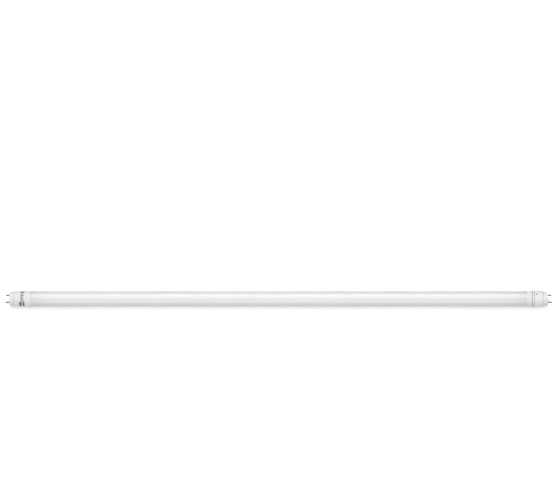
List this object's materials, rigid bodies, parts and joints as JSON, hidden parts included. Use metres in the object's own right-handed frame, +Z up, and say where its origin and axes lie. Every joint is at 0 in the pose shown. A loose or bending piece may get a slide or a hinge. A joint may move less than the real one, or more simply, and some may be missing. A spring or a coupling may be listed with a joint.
{
  "type": "led tube",
  "caption": "Opal glass LED tube lamp with a stepped two-pin cap on each end, for tubular lamp holders.",
  "frame": {"origin": "on the tube's axis, half way between the two caps' end faces", "axes": "+X along the tube to its feed end, +Y across it in line with the pins of each cap, +Z up, to the side that the LEDs face"},
  "size_m": [0.9088, 0.0272, 0.0272],
  "materials": {
    "opal_glass": "glossy outside, opal coat inside",
    "cap_plastic": "white moulded plastic, fine satin",
    "pin_metal": "nickel plate, dull",
    "cap_glue": "cured adhesive",
    "silicone": "cured silicone",
    "strip_mask": "white solder mask",
    "led_frame": "moulded",
    "led_phosphor": "matt",
    "solder": "bright tin",
    "board_laminate": "lacquered laminate",
    "sleeve_film": "heat-shrunk film",
    "fuse_coat": "lacquered",
    "varistor_coat": "lacquered",
    "film_case": "moulded",
    "ferrite": "matt",
    "winding_copper": "enamelled wire",
    "winding_tape": "polyester tape",
    "can_sleeve": "shrunk sleeve",
    "chip_plastic": "moulded",
    "wire_brown": "satin",
    "wire_blue": "satin",
    "wire_red": "satin",
    "wire_black": "satin",
    "wire_white": "satin",
    "print_ink": "pad print"
  },
  "bodies": {
    "root": {"glass_tube": "opal_glass", "end_cap_feed": "cap_plastic", "end_cap_far": "cap_plastic", "contact_pin_feed_left": "pin_metal", "contact_pin_feed_right": "pin_metal", "contact_pin_far_left": "pin_metal", "contact_pin_far_right": "pin_metal", "cap_glue_feed": "cap_glue", "cap_glue_far": "cap_glue", "strip_board": "strip_mask", "strip_glue": "silicone", "strip_solder_pads": "solder", "driver_sleeve": "sleeve_film", "driver_board": "board_laminate", "driver_solder_pads": "solder", "fuse_resistor": "fuse_coat", "varistor": "varistor_coat", "film_capacitor": "film_case", "line_choke_core": "ferrite", "line_choke_winding": "winding_copper", "bulk_capacitor": "can_sleeve", "transformer_core": "ferrite", "transformer_winding": "winding_tape", "output_capacitor": "can_sleeve", "bridge_rectifier": "chip_plastic", "control_chip": "chip_plastic", "feed_wire_left": "wire_brown", "feed_wire_right": "wire_blue", "output_wire_positive": "wire_red", "output_wire_negative": "wire_black", "far_link_wire": "wire_white", "led_frames_string_1": "led_frame", "led_phosphors_string_1": "led_phosphor", "led_frames_string_2": "led_frame", "led_phosphors_string_2": "led_phosphor", "led_frames_string_3": "led_frame", "led_phosphors_string_3": "led_phosphor", "led_frames_string_4": "led_frame", "led_phosphors_string_4": "led_phosphor", "led_frames_string_5": "led_frame", "led_phosphors_string_5": "led_phosphor", "led_frames_string_6": "led_frame", "led_phosphors_string_6": "led_phosphor"}
  },
  "joints": []
}
